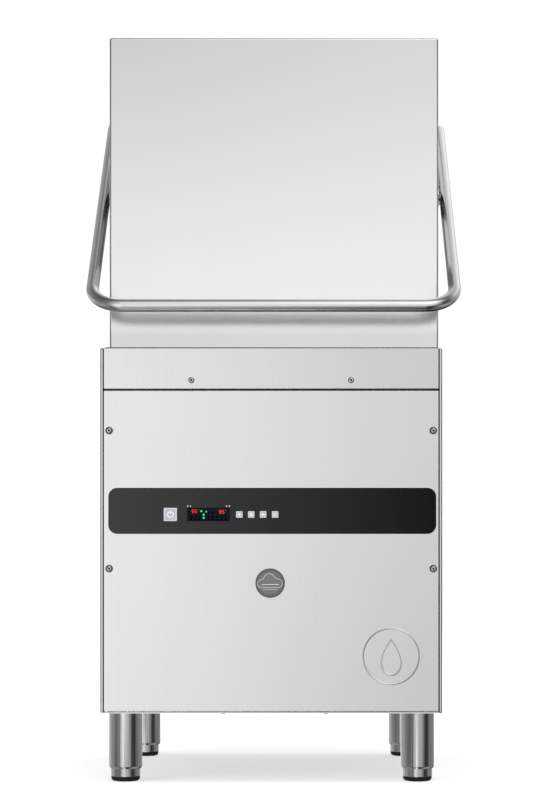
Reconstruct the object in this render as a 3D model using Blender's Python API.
"""Commercial hood-type dishwasher: a stainless cabinet on four legs, with a hood that a bail handle lifts.

Metres, +Z up, +X to the machine's right, +Y to its back. The origin is on the floor, under the
middle of the whole machine's box.
"""

import math

import bmesh
import bpy
from mathutils import Matrix, Vector

# Cabinet
CABINET_X = -0.005  # the cabinet stands 5 mm left of the hood's centre line
CABINET_HALF = 0.325
CABINET_FRONT = -0.284
CABINET_BACK = 0.384
CABINET_BOTTOM = 0.132
CABINET_TOP = 0.826
SHEET = 0.0015
GAP = 0.0003  # between pieces that rest on each other
SIDE_RETURN = 0.005
PANEL_HALF = CABINET_HALF - SIDE_RETURN - 0.0014
PANEL_RETURN = 0.012
PANEL_SPLIT = 0.7465  # height of the joint between the front panel and the fascia
PANEL_SPLIT_GAP = 0.0026
BASE_SHEET = 0.0025
BASE_UPSTAND = 0.030

# Legs
LEG_X = 0.280
LEG_FRONT_Y = CABINET_FRONT + 0.050
LEG_BACK_Y = CABINET_BACK - 0.050
LEG_RADIUS = 0.032
LEG_BORE = 0.0288
LEG_BOTTOM = 0.0245
FOOT_RADIUS = 0.0282
FOOT_TOP = 0.100
PAD_HEIGHT = 0.009

# Hood and its column
HOOD_HALF = 0.31375
HOOD_FRONT = -0.262
HOOD_BACK = 0.278
HOOD_BOTTOM = 0.800
HOOD_TOP = 1.420
HOOD_SHEET = 0.0015
HOOD_FOLD = 0.004
COLUMN_HALF = 0.300
COLUMN_FRONT = 0.294
COLUMN_TOP = 1.384
COLUMN_BOTTOM = 0.7903
RAIL_X = 0.255
RAIL_BOTTOM = 0.840
RAIL_TOP = 1.375

# Lifting gear
HANDLE_HALF = 0.340
HANDLE_RADIUS = 0.012
GRIP = Vector((0.0, -0.372, 0.896))  # middle of the grip bar
KINK = Vector((0.0, 0.161, 1.334))  # where the arms turn level
PIVOT = Vector((0.0, 0.328, 1.334))
GRIP_BEND = 0.058
KINK_BEND = 0.070
SHAFT_RADIUS = 0.012
SHAFT_BORE = 0.01235
SHAFT_HALF = 0.3515
HUB_RADIUS = 0.020
LEVER_X = 0.210
LEVER_REACH = 0.044
LEVER_ANGLE = math.radians(30)
SPRING_RADIUS = 0.011
SPRING_BOTTOM = 0.900
SPRING_TOP = 1.340
STUD_Y = -0.068
STUD_Z = GRIP.z + (KINK.z - GRIP.z) * (STUD_Y - GRIP.y) / (KINK.y - GRIP.y)
STUD_RADIUS = 0.005
ROLLER_RADIUS = 0.009
ROLLER_BORE = 0.0053
TRACK_FRONT = -0.124
TRACK_BACK = -0.032
TRACK_HALF = 0.015

# Wash chamber
WASH_Y = 0.002
TANK_HALF = 0.292
TANK_FRONT = -0.250
TANK_BACK = 0.254
TANK_BOTTOM = 0.640
TANK_RIM = 0.815
DECK_TOP = 0.790
SUMP_RADIUS = 0.065
SUMP_BOTTOM = 0.590
TRAY_FLOOR = 0.752
SPINDLE_RADIUS = 0.006
ARM_BORE = 0.0064
ARM_REACH = 0.238
LOWER_WASH_Z = 0.784
LOWER_RINSE_Z = 0.801
UPPER_WASH_Z = 1.330
UPPER_RINSE_Z = 1.311
DUCT_Z = 1.352
DUCT_DEPTH = 0.015
DUCT_HALF = 0.030
DUCT_FRONT_OF_RISER = 0.257

# Controls
CONTROL_Z = 0.5097
OVERLAY_CENTRE = (0.002, 0.5166)
OVERLAY_SIZE = (0.622, 0.0874)
OVERLAY_CORNER = 0.017
OVERLAY_FACE = CABINET_FRONT - 0.0018
START_X = -0.1912
START_SIZE = 0.0252
DISPLAY_X = -0.1188
DISPLAY_SIZE = (0.081, 0.0254)
KEY_XS = [-0.0604 + 0.0226 * i for i in range(4)]
KEY_SIZE = 0.0123
KEY_PROUD = 0.0012
KEY_DEPTH = 0.0045
BADGE_CENTRE = (-0.002, 0.3795)
BADGE_RADIUS = 0.028
EMBLEM_CENTRE = (0.2277, 0.2405)
EMBLEM_RADIUS = 0.054

STEEL = ("stainless_steel", (0.72, 0.72, 0.73), 0.35, 1.0)
POLISHED = ("polished_steel", (0.78, 0.78, 0.79), 0.18, 1.0)
BLACK = ("black_plastic", (0.03, 0.03, 0.03), 0.35, 0.0)
RUBBER = ("rubber", (0.02, 0.02, 0.02), 0.7, 0.0)
GREY_KEY = ("key_grey", (0.62, 0.65, 0.68), 0.45, 0.0)
NYLON = ("nylon", (0.82, 0.81, 0.77), 0.5, 0.0)
PAINTED = ("painted_grey", (0.30, 0.32, 0.34), 0.5, 0.0)
BADGE = ("badge_grey", (0.25, 0.25, 0.26), 0.4, 0.3)


def clear_scene():
    for obj in list(bpy.data.objects):
        bpy.data.objects.remove(obj)


def material(spec):
    name, colour, roughness, metallic = spec
    found = bpy.data.materials.get(name)
    if found:
        return found
    made = bpy.data.materials.new(name)
    made.use_nodes = True
    shader = made.node_tree.nodes["Principled BSDF"]
    shader.inputs["Base Color"].default_value = (*colour, 1)
    shader.inputs["Roughness"].default_value = roughness
    shader.inputs["Metallic"].default_value = metallic
    return made


def empty(name, place):
    obj = bpy.data.objects.new(name, None)
    obj.location = place
    bpy.context.scene.collection.objects.link(obj)
    return obj


def finish_mesh(name, bm, spec, smooth=True):
    """Turns a bmesh into an object with outward faces."""
    bmesh.ops.recalc_face_normals(bm, faces=bm.faces)
    mesh = bpy.data.meshes.new(name)
    bm.to_mesh(mesh)
    bm.free()
    if spec:
        mesh.materials.append(material(spec))
    if smooth:
        mesh.shade_smooth()
        mesh.set_sharp_from_angle(angle=math.radians(35))
    obj = bpy.data.objects.new(name, mesh)
    bpy.context.scene.collection.objects.link(obj)
    return obj


def box_bmesh(low, high):
    bm = bmesh.new()
    bmesh.ops.create_cube(bm, size=1)
    low, high = Vector(low), Vector(high)
    size = high - low
    middle = (low + high) / 2
    for vert in bm.verts:
        vert.co = Vector(a * b for a, b in zip(vert.co, size)) + middle
    return bm


def block(name, low, high, spec=None, bevel=0.0):
    """A solid box, with its edges rounded where a bevel is given."""
    bm = box_bmesh(low, high)
    if bevel:
        bmesh.ops.bevel(bm, geom=bm.edges, offset=bevel, segments=2, profile=0.5, affect="EDGES")
    return finish_mesh(name, bm, spec)


def pan(name, low, high, open_side, wall, fold, spec):
    """A folded sheet tray: a box with one side left off, rounded folds and walls turned inwards.

    open_side is an axis name with a sign, such as "+Y".
    """
    bm = box_bmesh(low, high)
    axis = "XYZ".index(open_side[1])
    sign = 1 if open_side[0] == "+" else -1
    lid = [face for face in bm.faces if face.normal[axis] * sign > 0.5]
    bmesh.ops.delete(bm, geom=lid, context="FACES_ONLY")
    folds = [edge for edge in bm.edges if len(edge.link_faces) == 2]
    bmesh.ops.bevel(bm, geom=folds, offset=fold, segments=2, profile=0.5, affect="EDGES")
    obj = finish_mesh(name, bm, spec)
    sheet = obj.modifiers.new("Sheet", "SOLIDIFY")
    sheet.thickness = wall
    sheet.offset = -1
    sheet.use_even_offset = True
    return obj


def prism(name, outline, axis, start, end, spec=None):
    """An outline pushed along an axis. Its two numbers are the other two axes, in X, Y, Z order."""
    bm = bmesh.new()
    index = "XYZ".index(axis)
    corners = []
    for a, b in outline:
        place = [a, b]
        place.insert(index, start)
        corners.append(bm.verts.new(place))
    face = bm.faces.new(corners)
    pushed = bmesh.ops.extrude_face_region(bm, geom=[face])
    step = Vector((0, 0, 0))
    step[index] = end - start
    moved = [item for item in pushed["geom"] if isinstance(item, bmesh.types.BMVert)]
    bmesh.ops.translate(bm, verts=moved, vec=step)
    return finish_mesh(name, bm, spec)


def turned(name, profile, axis, centre, spec=None, steps=32):
    """A turned piece: a closed run of (radius, along) points, spun about an axis through centre."""
    bm = bmesh.new()
    verts = [bm.verts.new((radius, 0, along)) for radius, along in profile]
    closed = min(radius for radius, along in profile) > 0
    pairs = list(zip(verts, verts[1:]))
    if closed:
        pairs.append((verts[-1], verts[0]))
    for first, second in pairs:
        bm.edges.new((first, second))
    bmesh.ops.spin(
        bm,
        geom=bm.verts[:] + bm.edges[:],
        axis=(0, 0, 1),
        cent=(0, 0, 0),
        angle=2 * math.pi,
        steps=steps,
        use_merge=True,
    )
    bmesh.ops.remove_doubles(bm, verts=bm.verts, dist=1e-6)
    turn = {
        "X": Matrix.Rotation(math.radians(90), 4, "Y"),
        "Y": Matrix.Rotation(math.radians(-90), 4, "X"),
        "Z": Matrix.Identity(4),
    }[axis]
    bm.transform(Matrix.Translation(centre) @ turn)
    return finish_mesh(name, bm, spec)


def rod(name, axis, centre, radius, start, end, spec=None, steps=32):
    """A plain cylinder along an axis, from start to end as measured from centre."""
    profile = [(0, start), (radius, start), (radius, end), (0, end)]
    return turned(name, profile, axis, centre, spec, steps)


def rounded_path(corners, bends, steps=6):
    """The line through the corners, with each inner corner rounded to its own bend radius."""
    points = [corners[0]]
    for before, corner, after, radius in zip(corners, corners[1:], corners[2:], bends):
        back = (before - corner).normalized()
        ahead = (after - corner).normalized()
        half = back.angle(ahead) / 2
        reach = radius / math.tan(half)
        centre = corner + (back + ahead).normalized() * (radius / math.sin(half))
        start = corner + back * reach - centre
        end = corner + ahead * reach - centre
        sweep = start.angle(end)
        for i in range(steps + 1):
            share = i / steps
            a = math.sin((1 - share) * sweep) / math.sin(sweep)
            b = math.sin(share * sweep) / math.sin(sweep)
            points.append(centre + start * a + end * b)
    points.append(corners[-1])
    return points


def swept_bar(name, path, radius, spec=None, sides=16):
    """A round bar that follows a path, with flat ends."""
    bm = bmesh.new()
    rings = []
    normal = None
    for i, point in enumerate(path):
        before = path[max(i - 1, 0)]
        after = path[min(i + 1, len(path) - 1)]
        along = (after - before).normalized()
        if normal is None:
            normal = along.orthogonal().normalized()
        normal = (normal - along * normal.dot(along)).normalized()
        other = along.cross(normal)
        ring = []
        for k in range(sides):
            turn = 2 * math.pi * k / sides
            offset = normal * math.cos(turn) + other * math.sin(turn)
            ring.append(bm.verts.new(point + offset * radius))
        rings.append(ring)
    for first, second in zip(rings, rings[1:]):
        for k in range(sides):
            m = (k + 1) % sides
            bm.faces.new((first[k], first[m], second[m], second[k]))
    bm.faces.new(rings[0])
    bm.faces.new(rings[-1])
    return finish_mesh(name, bm, spec)


def combine(obj, operation, *others):
    """Adds or cuts other shapes with Booleans, and keeps those shapes as hidden helpers."""
    for other in others:
        step = obj.modifiers.new(other.name, "BOOLEAN")
        step.operation = operation
        step.solver = "EXACT"
        step.object = other
        other.hide_render = True
        other.display_type = "WIRE"
        other.parent = obj
    return obj


def attach(parent, *objects):
    for obj in objects:
        obj.parent = parent


def rounded_rectangle(centre, size, corner, steps=6):
    """Outline points of a rectangle with round corners."""
    points = []
    quarters = ((1, 1), (-1, 1), (-1, -1), (1, -1))
    for quarter, (sx, sz) in enumerate(quarters):
        for i in range(steps + 1):
            turn = math.pi / 2 * (quarter + i / steps)
            points.append(
                (
                    centre[0] + sx * (size[0] / 2 - corner) + corner * math.cos(turn),
                    centre[1] + sz * (size[1] / 2 - corner) + corner * math.sin(turn),
                )
            )
    return points


def window(name, x, z, width, height):
    """A cutter for an opening through the front of the machine."""
    return block(
        name,
        (x - width / 2, CABINET_FRONT - 0.010, z - height / 2),
        (x + width / 2, CABINET_FRONT + 0.010, z + height / 2),
    )


def make_cabinet():
    cabinet = empty("cabinet", (CABINET_X, 0, 0))
    top = CABINET_TOP
    front, back = CABINET_FRONT + 0.001, CABINET_BACK - 0.003
    upstand = CABINET_FRONT + PANEL_RETURN + 0.0025
    low, high = CABINET_BOTTOM, CABINET_BOTTOM + BASE_UPSTAND
    floor = CABINET_BOTTOM + BASE_SHEET
    outline = [
        (front, low),
        (back, low),
        (back, high),
        (back - BASE_SHEET, high),
        (back - BASE_SHEET, floor),
        (upstand + BASE_SHEET, floor),
        (upstand + BASE_SHEET, high),
        (upstand, high),
        (upstand, floor),
        (front, floor),
    ]
    base = prism("base_frame", outline, "X", -PANEL_HALF, PANEL_HALF, STEEL)
    attach(cabinet, base)
    for side, sign in (("left", -1), ("right", 1)):
        inner, outer = sorted((sign * (CABINET_HALF - SIDE_RETURN), sign * CABINET_HALF))
        panel = pan(
            f"{side}_side_panel",
            (inner, CABINET_FRONT, CABINET_BOTTOM),
            (outer, CABINET_BACK, top),
            "+X" if sign < 0 else "-X",
            SHEET,
            0.003,
            STEEL,
        )
        attach(cabinet, panel)
    front = pan(
        "front_panel",
        (-PANEL_HALF, CABINET_FRONT, CABINET_BOTTOM + BASE_SHEET + 0.0008),
        (PANEL_HALF, CABINET_FRONT + PANEL_RETURN, PANEL_SPLIT - PANEL_SPLIT_GAP / 2),
        "+Y",
        SHEET,
        0.0015,
        STEEL,
    )
    cutout = window("control_cutout", (START_X + KEY_XS[-1]) / 2, CONTROL_Z, 0.238, 0.034)
    combine(front, "UNION", *emblem())
    combine(front, "DIFFERENCE", cutout, *screw_holes("panel", PANEL_SCREWS, 0.0031))
    fascia = pan(
        "front_fascia",
        (-PANEL_HALF, CABINET_FRONT, PANEL_SPLIT + PANEL_SPLIT_GAP / 2),
        (PANEL_HALF, CABINET_FRONT + 0.016, top),
        "+Y",
        SHEET,
        0.002,
        STEEL,
    )
    combine(fascia, "DIFFERENCE", *screw_holes("fascia", FASCIA_SCREWS, 0.0026))
    attach(cabinet, front, fascia)
    make_rear_panel()
    make_screws(cabinet)
    make_legs(cabinet)
    return cabinet


PANEL_SCREWS = {
    "panel_screw_upper_left": (-0.3075, 0.669),
    "panel_screw_upper_right": (0.3075, 0.669),
    "panel_screw_lower_left": (-0.3075, 0.407),
    "panel_screw_lower_right": (0.3075, 0.407),
}
FASCIA_SCREWS = {
    "fascia_screw_left": (-0.1515, 0.7645),
    "fascia_screw_right": (0.1515, 0.7645),
}


def screw_holes(name, places, radius):
    holes = []
    for i, (x, z) in enumerate(places.values()):
        holes.append(rod(f"{name}_hole_{i}", "Y", (x, CABINET_FRONT, z), radius, -0.004, 0.010, steps=16))
    return holes


def make_screws(cabinet):
    """Button-head screws with a socket and, on the panel's four, a washer."""
    kinds = ((PANEL_SCREWS, 0.0056, 0.0025, 0.0072), (FASCIA_SCREWS, 0.0058, 0.0021, 0.0))
    for places, head, shank, washer in kinds:
        for name, (x, z) in places.items():
            seat = 0.0009 if washer else 0.0
            rim = [(washer, -seat), (washer, 0.0)] if washer else [(head, 0.0)]
            profile = [
                (0, -0.0022),
                (0.0019, -0.0022),
                (0.0019, -seat - 0.0034),
                (head * 0.55, -seat - 0.0036),
                (head * 0.86, -seat - 0.0026),
                (head, -seat - 0.0008),
                (head, -seat),
                *rim,
                (shank, 0.0),
                (shank, 0.0095),
                (0, 0.0095),
            ]
            if not washer:
                profile.remove((head, -seat))
            screw = turned(name, profile, "Y", (x, CABINET_FRONT - GAP, z), POLISHED, steps=16)
            attach(cabinet, screw)


def emblem():
    """A raised ring with a water drop in it, pressed into the front panel."""
    x, z = EMBLEM_CENTRE
    inner = EMBLEM_RADIUS - 0.0016
    section = [(inner, -0.0006), (EMBLEM_RADIUS, -0.0006), (EMBLEM_RADIUS, 0.0008), (inner, 0.0008)]
    ring = turned("emblem_ring", section, "Y", (x, CABINET_FRONT, z), steps=48)
    outline = []
    steps = 20
    for i in range(steps):
        turn = 2 * math.pi * i / steps
        width = 0.021 * math.sin(turn) * math.sin(turn / 2)
        outline.append((x + width, z - 0.002 + 0.030 * math.cos(turn)))
    drop = prism("emblem_drop", outline, "Y", CABINET_FRONT - 0.0006, CABINET_FRONT + 0.0008)
    return ring, drop


def make_rear_panel():
    """One flat sheet that closes the cabinet's back and, above it, the column's."""
    low = CABINET_BOTTOM + BASE_SHEET + 0.0008
    left, right = CABINET_X - PANEL_HALF, CABINET_X + PANEL_HALF
    shoulder = CABINET_TOP - 0.002
    outline = [
        (left, low),
        (right, low),
        (right, shoulder),
        (COLUMN_HALF, shoulder),
        (COLUMN_HALF, COLUMN_TOP),
        (-COLUMN_HALF, COLUMN_TOP),
        (-COLUMN_HALF, shoulder),
        (left, shoulder),
    ]
    prism("rear_panel", outline, "Y", CABINET_BACK - SHEET, CABINET_BACK, STEEL)


def make_legs(cabinet):
    """Four tube legs, each with a levelling foot that screws out of it and a rubber pad."""
    for row, y in (("front", LEG_FRONT_Y), ("rear", LEG_BACK_Y)):
        for side, x in (("left", -LEG_X), ("right", LEG_X)):
            centre = (x, y, 0)
            top = CABINET_BOTTOM - GAP
            leg = turned(
                f"leg_{row}_{side}",
                [
                    (0, top),
                    (LEG_RADIUS, top),
                    (LEG_RADIUS, LEG_BOTTOM + 0.0035),
                    (LEG_RADIUS - 0.0022, LEG_BOTTOM),
                    (LEG_BORE, LEG_BOTTOM),
                    (LEG_BORE, top - 0.006),
                    (0, top - 0.006),
                ],
                "Z",
                centre,
                POLISHED,
            )
            foot = turned(
                f"levelling_foot_{row}_{side}",
                [
                    (0, PAD_HEIGHT + GAP),
                    (FOOT_RADIUS, PAD_HEIGHT + GAP),
                    (FOOT_RADIUS, FOOT_TOP),
                    (0, FOOT_TOP),
                ],
                "Z",
                centre,
                POLISHED,
            )
            pad = turned(
                f"foot_pad_{row}_{side}",
                [
                    (0, 0),
                    (FOOT_RADIUS - 0.003, 0),
                    (FOOT_RADIUS, 0.003),
                    (FOOT_RADIUS, PAD_HEIGHT),
                    (0, PAD_HEIGHT),
                ],
                "Z",
                centre,
                RUBBER,
            )
            attach(cabinet, leg, foot, pad)


def make_controls(cabinet):
    """The black overlay, the control unit with its display, the start button and four keys."""
    overlay = prism(
        "control_overlay",
        rounded_rectangle(OVERLAY_CENTRE, OVERLAY_SIZE, OVERLAY_CORNER),
        "Y",
        OVERLAY_FACE,
        CABINET_FRONT - GAP,
        BLACK,
    )
    margin = 0.0006
    windows = [
        window("start_window", START_X, CONTROL_Z, START_SIZE + margin, START_SIZE + margin),
        window("display_window", DISPLAY_X, CONTROL_Z, DISPLAY_SIZE[0] + margin, DISPLAY_SIZE[1] + margin),
    ]
    for i, x in enumerate(KEY_XS):
        windows.append(window(f"key_window_{i}", x, CONTROL_Z, KEY_SIZE + margin, KEY_SIZE + margin))
    combine(overlay, "DIFFERENCE", *windows)
    unit = block(
        "control_unit",
        (START_X - 0.020, CABINET_FRONT + 0.0036, CONTROL_Z - 0.021),
        (KEY_XS[-1] + 0.020, CABINET_FRONT + 0.020, CONTROL_Z + 0.021),
        BLACK,
    )
    glass = block(
        "display_block",
        (DISPLAY_X - DISPLAY_SIZE[0] / 2, OVERLAY_FACE + 0.0004, CONTROL_Z - DISPLAY_SIZE[1] / 2),
        (DISPLAY_X + DISPLAY_SIZE[0] / 2, CABINET_FRONT + 0.006, CONTROL_Z + DISPLAY_SIZE[1] / 2),
    )
    combine(unit, "UNION", glass)
    attach(cabinet, overlay, unit)
    buttons = [("start_button", START_X, START_SIZE)]
    buttons += [(f"key_{i + 1}", x, KEY_SIZE) for i, x in enumerate(KEY_XS)]
    for name, x, size in buttons:
        face = OVERLAY_FACE - KEY_PROUD
        button = block(
            name,
            (x - size / 2, face, CONTROL_Z - size / 2),
            (x + size / 2, face + KEY_DEPTH, CONTROL_Z + size / 2),
            GREY_KEY,
            bevel=0.0007,
        )
        attach(cabinet, button)
    badge = turned(
        "round_badge",
        [
            (0, -0.0020),
            (BADGE_RADIUS * 0.7, -0.0018),
            (BADGE_RADIUS - 0.001, -0.0014),
            (BADGE_RADIUS, -0.0008),
            (BADGE_RADIUS, -GAP),
            (0, -GAP),
        ],
        "Y",
        (BADGE_CENTRE[0], CABINET_FRONT, BADGE_CENTRE[1]),
        BADGE,
        steps=40,
    )
    attach(cabinet, badge)


def make_wash_tank(cabinet):
    """The tank with its gutter deck, sump and the post that the lower arms turn on, and what lies in it."""
    wall = SHEET
    low = (-TANK_HALF, TANK_FRONT, TANK_BOTTOM)
    high = (TANK_HALF, TANK_BACK, TANK_RIM)
    tank = block("wash_tank", low, high, STEEL)
    deck = block(
        "deck",
        (-PANEL_HALF, HOOD_FRONT - 0.0055, DECK_TOP - 0.002),
        (PANEL_HALF, CABINET_BACK - SHEET - GAP, DECK_TOP),
    )
    sump = rod("sump", "Z", (0, WASH_Y, 0), SUMP_RADIUS, SUMP_BOTTOM, TANK_BOTTOM + 0.001)
    cavity = block(
        "tank_cavity",
        (-TANK_HALF + wall, TANK_FRONT + wall, TANK_BOTTOM + wall),
        (TANK_HALF - wall, TANK_BACK - wall, TANK_RIM + 0.01),
    )
    bottom = SUMP_BOTTOM + wall
    well = rod("sump_well", "Z", (0, WASH_Y, 0), SUMP_RADIUS - wall, bottom, TANK_BOTTOM + 0.004)
    post = turned(
        "wash_post",
        [
            (0, SUMP_BOTTOM + 0.0005),
            (0.018, SUMP_BOTTOM + 0.0005),
            (0.018, LOWER_WASH_Z - 0.010),
            (SPINDLE_RADIUS, LOWER_WASH_Z - 0.010),
            (SPINDLE_RADIUS, LOWER_RINSE_Z + 0.008),
            (0, LOWER_RINSE_Z + 0.008),
        ],
        "Z",
        (0, WASH_Y, 0),
    )
    combine(tank, "UNION", deck, sump)
    combine(tank, "DIFFERENCE", cavity, well)
    combine(tank, "UNION", post)
    tray = pan(
        "filter_tray",
        (-TANK_HALF + 0.004, TANK_FRONT + 0.004, TRAY_FLOOR),
        (TANK_HALF - 0.004, TANK_BACK - 0.004, TRAY_FLOOR + 0.012),
        "+Z",
        SHEET,
        0.002,
        STEEL,
    )
    post_hole = rod("tray_hole", "Z", (0, WASH_Y, 0), 0.020, TRAY_FLOOR - 0.01, TRAY_FLOOR + 0.01)
    combine(tray, "DIFFERENCE", post_hole)
    heater_z = TANK_BOTTOM + 0.022
    ends = TANK_BACK - SHEET - GAP
    corners = [
        Vector((0.110, ends, heater_z)),
        Vector((0.110, TANK_FRONT + 0.05, heater_z)),
        Vector((0.200, TANK_FRONT + 0.05, heater_z)),
        Vector((0.200, ends, heater_z)),
    ]
    heater = swept_bar("tank_heater", rounded_path(corners, [0.03, 0.03]), 0.0042, POLISHED, sides=8)
    attach(cabinet, tank, tray, heater, make_rack_guide())


def make_rack_guide():
    """A welded frame of round bars on the tank's rim: the rack slides along its two long bars."""
    bar = 0.005
    z = TANK_RIM + GAP + bar
    half = TANK_HALF - 0.004
    front, back = WASH_Y - 0.225, WASH_Y + 0.225
    guide = rod("rack_guide", "X", (0, front, z), bar, -half, half, POLISHED, steps=10)
    extra = [rod("guide_back_bar", "X", (0, back, z), bar, -half, half, steps=10)]
    for i, x in enumerate((-0.262, 0.262)):
        extra.append(rod(f"guide_cross_{i}", "Y", (x, 0, z), bar * 0.85, TANK_FRONT, TANK_BACK, steps=10))
    return combine(guide, "UNION", *extra)


def spray_arm(name, z, height, width, tip, reach):
    """A flat arm with a hub, tapering to its two round ends."""
    low, high = z - height / 2, z + height / 2
    outline = []
    steps = 6
    for sign in (1, -1):
        for i in range(steps + 1):
            turn = math.pi * (i / steps - 0.5)
            along = reach - tip + tip * math.cos(turn)
            outline.append((sign * along, WASH_Y + sign * tip * math.sin(turn)))
        outline.append((sign * 0.02, WASH_Y + sign * width))
        outline.append((-sign * 0.02, WASH_Y + sign * width))
    arm = prism(name, outline, "Z", low, high, POLISHED)
    bore = rod(f"{name}_bore", "Z", (0, WASH_Y, 0), ARM_BORE, low - 0.01, high + 0.01, steps=24)
    return combine(arm, "DIFFERENCE", bore)


def make_spray_system(cabinet):
    """Wash and rinse arms below and above the rack, and the duct that feeds and carries the upper pair."""
    arms = [
        spray_arm("lower_wash_arm", LOWER_WASH_Z, 0.015, 0.026, 0.016, ARM_REACH),
        spray_arm("lower_rinse_arm", LOWER_RINSE_Z, 0.009, 0.011, 0.008, ARM_REACH - 0.012),
        spray_arm("upper_wash_arm", UPPER_WASH_Z, 0.015, 0.026, 0.016, ARM_REACH),
        spray_arm("upper_rinse_arm", UPPER_RINSE_Z, 0.009, 0.011, 0.008, ARM_REACH - 0.012),
    ]
    front = WASH_Y - 0.030
    back = DUCT_FRONT_OF_RISER + DUCT_DEPTH
    outline = [
        (front, DUCT_Z),
        (DUCT_FRONT_OF_RISER, DUCT_Z),
        (DUCT_FRONT_OF_RISER, DECK_TOP + GAP),
        (back, DECK_TOP + GAP),
        (back, DUCT_Z + DUCT_DEPTH - 0.010),
        (back - 0.010, DUCT_Z + DUCT_DEPTH),
        (front, DUCT_Z + DUCT_DEPTH),
    ]
    riser = prism("spray_riser", outline, "X", -DUCT_HALF, DUCT_HALF, STEEL)
    bottom = UPPER_RINSE_Z - 0.010
    spindle = rod("upper_spindle", "Z", (0, WASH_Y, 0), SPINDLE_RADIUS, bottom, DUCT_Z + 0.004)
    combine(riser, "UNION", spindle)
    attach(cabinet, riser, *arms)


def make_machine_space(cabinet):
    """What the cabinet hides: the wash pump, the rinse boiler and the electrical box."""
    floor = CABINET_BOTTOM + BASE_SHEET + GAP
    pump = turned(
        "wash_pump",
        [
            (0, -0.150),
            (0.050, -0.150),
            (0.056, -0.142),
            (0.056, 0.030),
            (0.040, 0.034),
            (0.040, 0.046),
            (0.080, 0.050),
            (0.080, 0.082),
            (0.064, 0.088),
            (0.028, 0.088),
            (0.028, 0.112),
            (0, 0.112),
        ],
        "X",
        (0, WASH_Y, 0.260),
        PAINTED,
        steps=24,
    )
    outlet = rod("pump_outlet", "Z", (0.066, WASH_Y + 0.050, 0), 0.0135, 0.270, 0.585, steps=16)
    stand = [block("pump_base", (-0.13, WASH_Y - 0.045, floor), (0.02, WASH_Y + 0.045, floor + 0.004))]
    for i, x in enumerate((-0.12, 0.006)):
        low = (x, WASH_Y - 0.040, floor + 0.002)
        stand.append(block(f"pump_foot_{i}", low, (x + 0.005, WASH_Y + 0.040, 0.230)))
    combine(pump, "UNION", outlet, *stand)
    boiler = turned(
        "rinse_boiler",
        [
            (0, 0.180),
            (0.050, 0.186),
            (0.084, 0.204),
            (0.090, 0.230),
            (0.090, 0.520),
            (0.084, 0.546),
            (0.050, 0.564),
            (0.016, 0.568),
            (0.016, 0.585),
            (0.013, 0.585),
            (0.013, 0.565),
            (0.049, 0.561),
            (0.0815, 0.544),
            (0.0872, 0.519),
            (0.0872, 0.231),
            (0.0815, 0.206),
            (0.049, 0.189),
            (0, 0.183),
        ],
        "Z",
        (0.200, 0.240, 0),
        STEEL,
        steps=24,
    )
    skirt = turned(
        "boiler_skirt",
        [(0.058, floor), (0.060, floor), (0.060, 0.193), (0.058, 0.193)],
        "Z",
        (0.200, 0.240, 0),
        steps=24,
    )
    combine(boiler, "UNION", skirt)
    wall = -CABINET_HALF + SHEET + GAP
    box = pan(
        "electrical_box",
        (wall, -0.250, 0.190),
        (wall + 0.140, -0.060, 0.450),
        "-Y",
        SHEET,
        0.003,
        PAINTED,
    )
    attach(cabinet, pump, boiler, box)


def make_column():
    """The fixed column behind the hood, with its guide rails, shaft bearings and balance springs."""
    column = pan(
        "rear_column",
        (-COLUMN_HALF, COLUMN_FRONT, COLUMN_BOTTOM),
        (COLUMN_HALF, CABINET_BACK - SHEET - GAP, COLUMN_TOP),
        "+Y",
        0.002,
        0.004,
        STEEL,
    )
    reach = COLUMN_HALF + 0.02
    bore = rod("shaft_opening", "X", PIVOT, SHAFT_RADIUS + 0.002, -reach, reach, steps=24)
    half = LEVER_X + 0.02
    anchor = block(
        "spring_anchor",
        (-half, COLUMN_FRONT + 0.001, SPRING_BOTTOM - 0.010),
        (half, 0.3800, SPRING_BOTTOM - GAP),
    )
    combine(column, "DIFFERENCE", bore)
    combine(column, "UNION", anchor)
    spring_y = PIVOT.y + LEVER_REACH * math.cos(LEVER_ANGLE)
    for side, sign in (("left", -1), ("right", 1)):
        x = sign * RAIL_X
        block(
            f"guide_rail_{side}",
            (x - 0.010, COLUMN_FRONT - GAP - 0.010, RAIL_BOTTOM),
            (x + 0.010, COLUMN_FRONT - GAP, RAIL_TOP),
            POLISHED,
        )
        start = sign * (COLUMN_HALF + GAP)
        turned(
            f"pivot_bearing_{side}",
            [
                (SHAFT_BORE, start),
                (0.030, start),
                (0.030, start + sign * 0.004),
                (0.021, start + sign * 0.006),
                (0.020, start + sign * 0.018),
                (SHAFT_BORE, start + sign * 0.018),
            ],
            "X",
            PIVOT,
            NYLON,
        )
        turned(
            f"balance_spring_{side}",
            [
                (0, SPRING_BOTTOM),
                (SPRING_RADIUS, SPRING_BOTTOM + 0.004),
                (SPRING_RADIUS, SPRING_TOP - 0.004),
                (0, SPRING_TOP),
            ],
            "Z",
            (sign * LEVER_X, spring_y, 0),
            POLISHED,
            steps=16,
        )


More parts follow.
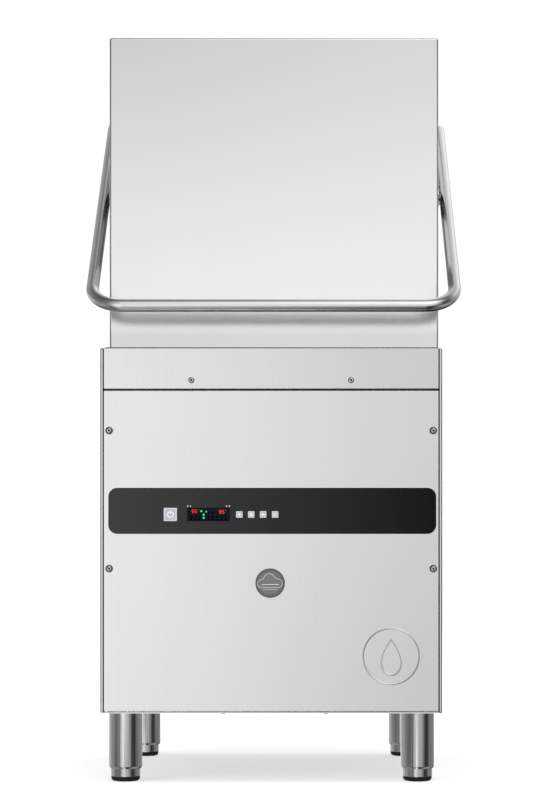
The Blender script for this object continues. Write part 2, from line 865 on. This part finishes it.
def make_hood():
    """The hood, the tracks that its handle's rollers run in, and its shoes on the column's rails."""
    pan(
        "hood_shell",
        (-HOOD_HALF, HOOD_FRONT, HOOD_BOTTOM),
        (HOOD_HALF, HOOD_BACK, HOOD_TOP),
        "-Z",
        HOOD_SHEET,
        HOOD_FOLD,
        STEEL,
    )
    inner = HOOD_HALF + GAP
    web = inner + 0.0025
    lip = inner + 0.0122
    profile = [
        (inner, STUD_Z - TRACK_HALF - 0.021),
        (lip, STUD_Z - TRACK_HALF - 0.003),
        (lip, STUD_Z - TRACK_HALF),
        (web, STUD_Z - TRACK_HALF),
        (web, STUD_Z + TRACK_HALF),
        (lip, STUD_Z + TRACK_HALF),
        (lip, STUD_Z + TRACK_HALF + 0.003),
        (inner, STUD_Z + TRACK_HALF + 0.009),
    ]
    shoe_back = COLUMN_FRONT - 0.0025
    shoe_front = HOOD_BACK + GAP
    slot = COLUMN_FRONT - GAP - 0.010 - 0.0007
    for side, sign in (("left", -1), ("right", 1)):
        outline = [(sign * x, z) for x, z in profile]
        prism(f"handle_track_{side}", outline, "Y", TRACK_FRONT, TRACK_BACK, STEEL)
        x = sign * RAIL_X
        shoe = [
            (x - 0.017, shoe_front),
            (x + 0.017, shoe_front),
            (x + 0.017, shoe_back),
            (x + 0.0106, shoe_back),
            (x + 0.0106, slot),
            (x - 0.0106, slot),
            (x - 0.0106, shoe_back),
            (x - 0.017, shoe_back),
        ]
        prism(f"guide_shoe_{side}", shoe, "Z", 0.845, 0.905, NYLON)


def make_handle():
    """The bail handle, the cross shaft that it turns with, and the two rollers that carry the hood."""
    corners = []
    for sign in (-1, 1):
        side = Vector((sign * HANDLE_HALF, 0, 0))
        run = [PIVOT - Vector((0, 0.016, 0)) + side, KINK + side, GRIP + side]
        corners += run if sign < 0 else run[::-1]
    bends = [KINK_BEND, GRIP_BEND, GRIP_BEND, KINK_BEND]
    handle = swept_bar("hood_handle", rounded_path(corners, bends), HANDLE_RADIUS, POLISHED)
    extra = []
    for sign, side in ((-1, "left"), (1, "right")):
        hub_start, hub_end = sorted((sign * 0.3285, sign * SHAFT_HALF))
        extra.append(
            turned(
                f"handle_hub_{side}",
                [
                    (SHAFT_BORE, hub_start),
                    (HUB_RADIUS, hub_start),
                    (HUB_RADIUS, hub_end),
                    (SHAFT_BORE, hub_end),
                ],
                "X",
                PIVOT,
            )
        )
        stud_start, stud_end = sorted((sign * (HOOD_HALF + GAP + 0.0032), sign * (HANDLE_HALF - 0.004)))
        place = (0, STUD_Y, STUD_Z)
        extra.append(rod(f"handle_stud_{side}", "X", place, STUD_RADIUS, stud_start, stud_end, steps=16))
        start, end = sorted((sign * (HOOD_HALF + GAP + 0.0036), sign * (HOOD_HALF + GAP + 0.0120)))
        turned(
            f"track_roller_{side}",
            [(ROLLER_BORE, start), (ROLLER_RADIUS, start), (ROLLER_RADIUS, end), (ROLLER_BORE, end)],
            "X",
            place,
            NYLON,
            steps=24,
        )
    combine(handle, "UNION", *extra)
    shaft = rod("lift_shaft", "X", PIVOT, SHAFT_RADIUS, -SHAFT_HALF, SHAFT_HALF, POLISHED)
    levers = []
    for i, x in enumerate((-LEVER_X, LEVER_X)):
        lever = block(f"lever_{i}", (x - 0.003, 0, -0.010), (x + 0.003, LEVER_REACH + 0.006, 0.010))
        lever.data.transform(Matrix.Rotation(LEVER_ANGLE, 4, "X"))
        lever.location = (0, PIVOT.y, PIVOT.z)
        levers.append(lever)
    combine(shaft, "UNION", *levers)


def main():
    clear_scene()
    cabinet = make_cabinet()
    make_controls(cabinet)
    make_wash_tank(cabinet)
    make_spray_system(cabinet)
    make_machine_space(cabinet)
    make_column()
    make_hood()
    make_handle()


main()
